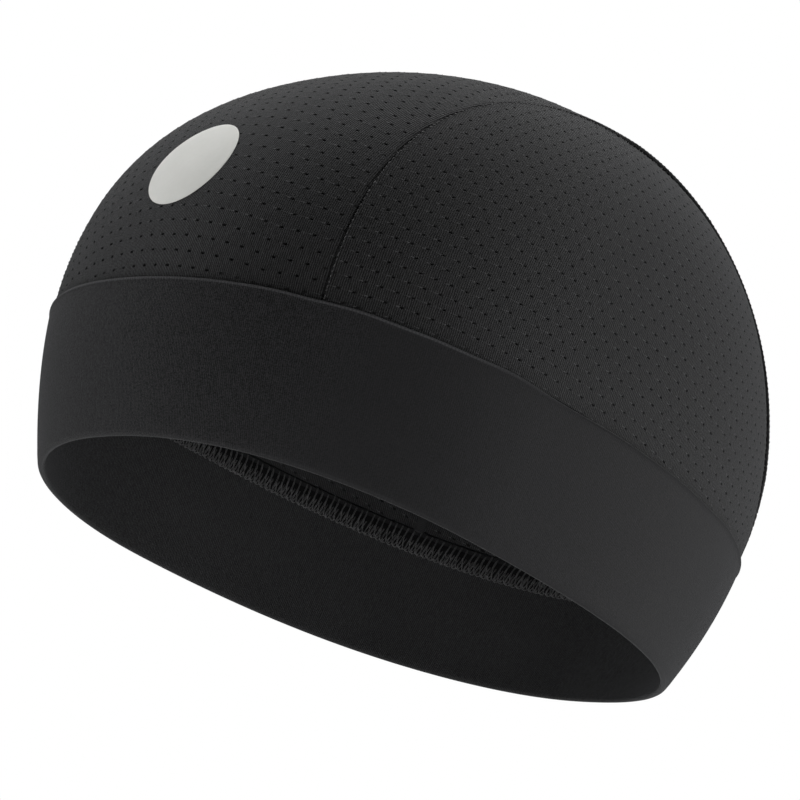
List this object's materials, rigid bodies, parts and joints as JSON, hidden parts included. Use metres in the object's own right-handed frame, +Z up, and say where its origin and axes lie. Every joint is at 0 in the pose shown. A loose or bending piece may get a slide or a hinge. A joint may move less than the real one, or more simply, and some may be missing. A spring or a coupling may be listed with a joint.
{
  "type": "helmet liner cap",
  "caption": "Thin stretch skull cap worn under a helmet: perforated panelled crown, plain folded headband, overlocked inner seam and a round front print.",
  "frame": {"origin": "middle of the head opening, on the panels' middle line, in the plane that the rim's lowest points touch", "axes": "+Z up through the crown, -Y to the front of the cap, +X to the wearer's left"},
  "size_m": [0.1676, 0.1982, 0.1339],
  "materials": {
    "crown_cloth": "perforated stretch knit, matt black",
    "band_jersey": "smooth stretch jersey, matt black",
    "overlock_thread": "overlocked polyester thread, black",
    "disc_print": "flat reflective print, light warm grey"
  },
  "bodies": {
    "root": {"centre_panel": "crown_cloth", "side_panel_left": "crown_cloth", "side_panel_right": "crown_cloth", "band": "band_jersey", "seam_strip": "overlock_thread", "front_disc": "disc_print"}
  },
  "joints": []
}
